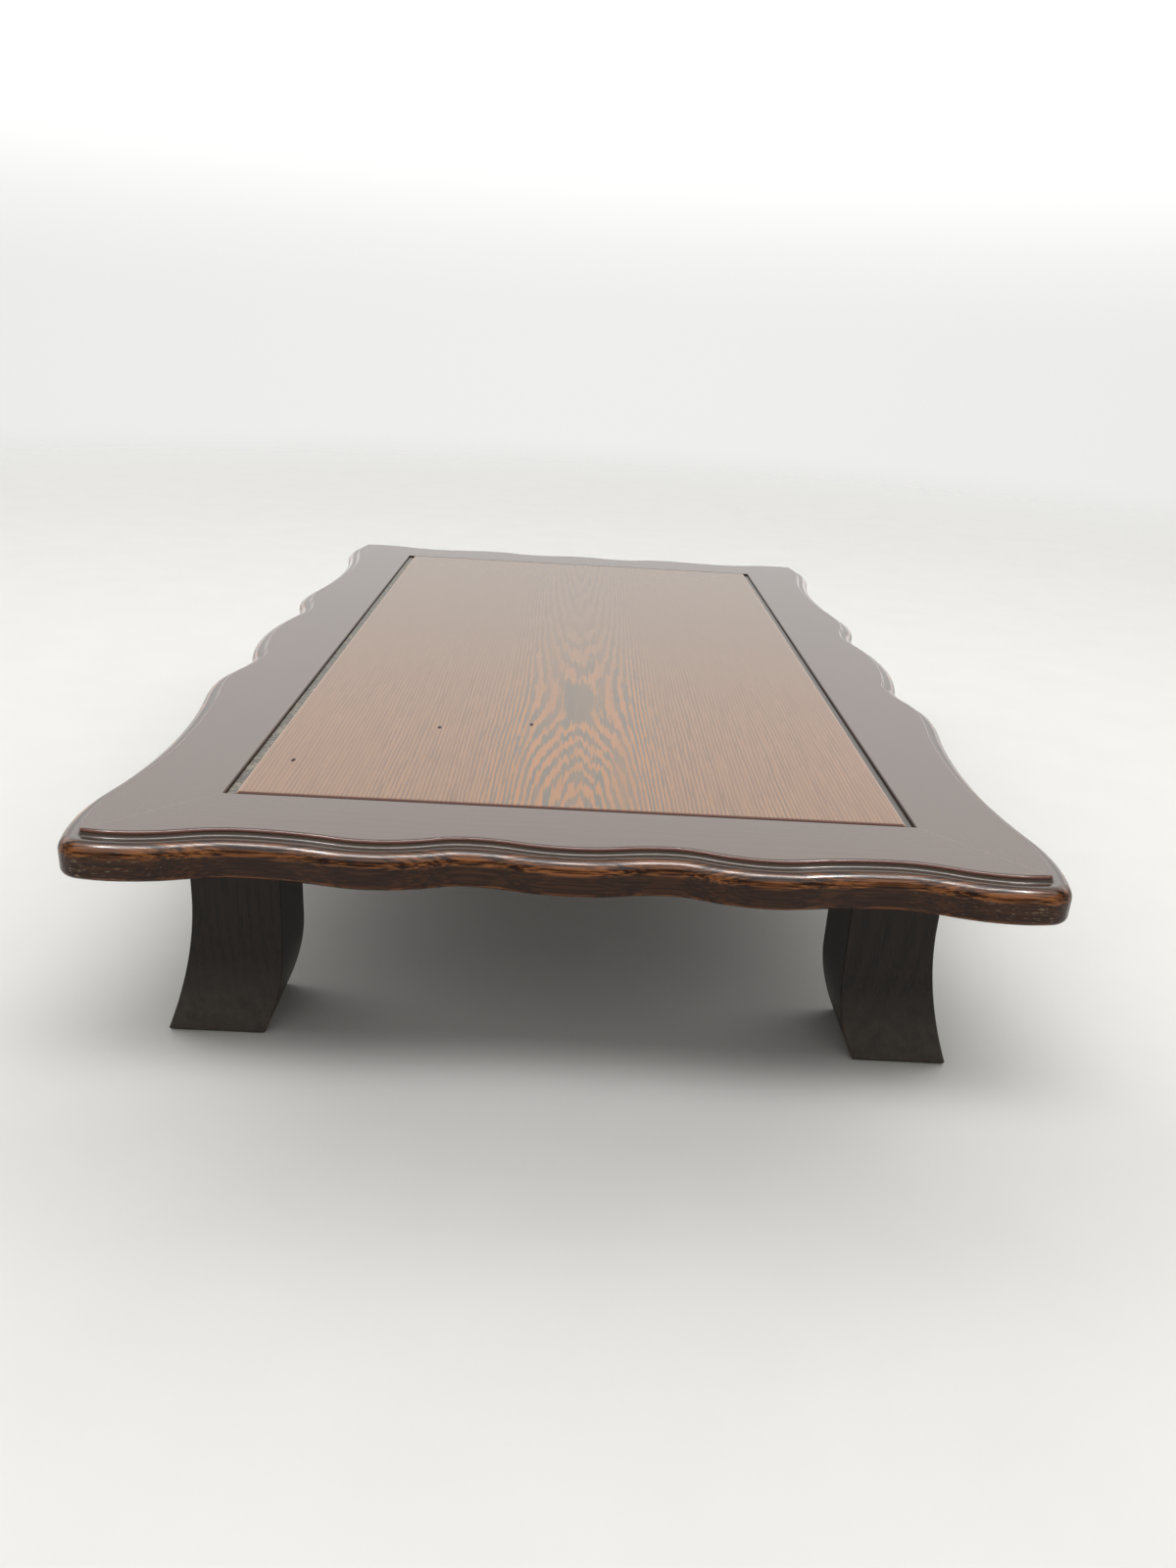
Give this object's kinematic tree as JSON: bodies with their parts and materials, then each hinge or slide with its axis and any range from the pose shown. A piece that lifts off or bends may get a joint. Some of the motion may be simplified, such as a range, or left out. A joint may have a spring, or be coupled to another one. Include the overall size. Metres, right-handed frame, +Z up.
{
  "type": "low display table",
  "caption": "Low rectangular display table: a wave-edged, moulded frame round a flush figured board, standing on square legs that flare at the foot.",
  "frame": {"origin": "on the floor, under the middle of the table", "axes": "+Z up, +Y along the length towards the back end, +X across the width"},
  "size_m": [0.3758, 0.6, 0.0968],
  "materials": {
    "frame_wood": "dark brown stained hardwood under satin lacquer",
    "figured_board": "fine-lined orange-brown and dark hardwood under satin lacquer",
    "leg_wood": "near-black stained hardwood, matt",
    "batten_wood": "dark stained softwood, unpolished",
    "hidden_ply": "stained plywood, unpolished",
    "plated_steel": "zinc-plated steel"
  },
  "bodies": {
    "root": {"long_rail_left": "frame_wood", "long_rail_right": "frame_wood", "end_rail_front": "frame_wood", "end_rail_back": "frame_wood", "mitre_spline_front_left": "hidden_ply", "mitre_spline_front_right": "hidden_ply", "mitre_spline_back_left": "hidden_ply", "mitre_spline_back_right": "hidden_ply", "panel_core": "hidden_ply", "panel_face": "figured_board", "leg_front_left": "leg_wood", "leg_front_right": "leg_wood", "leg_back_left": "leg_wood", "leg_back_right": "leg_wood", "cross_batten_front": "batten_wood", "cross_batten_middle": "batten_wood", "cross_batten_back": "batten_wood", "leg_screws": "plated_steel", "batten_screws": "plated_steel", "core_pins": "plated_steel"}
  },
  "joints": []
}
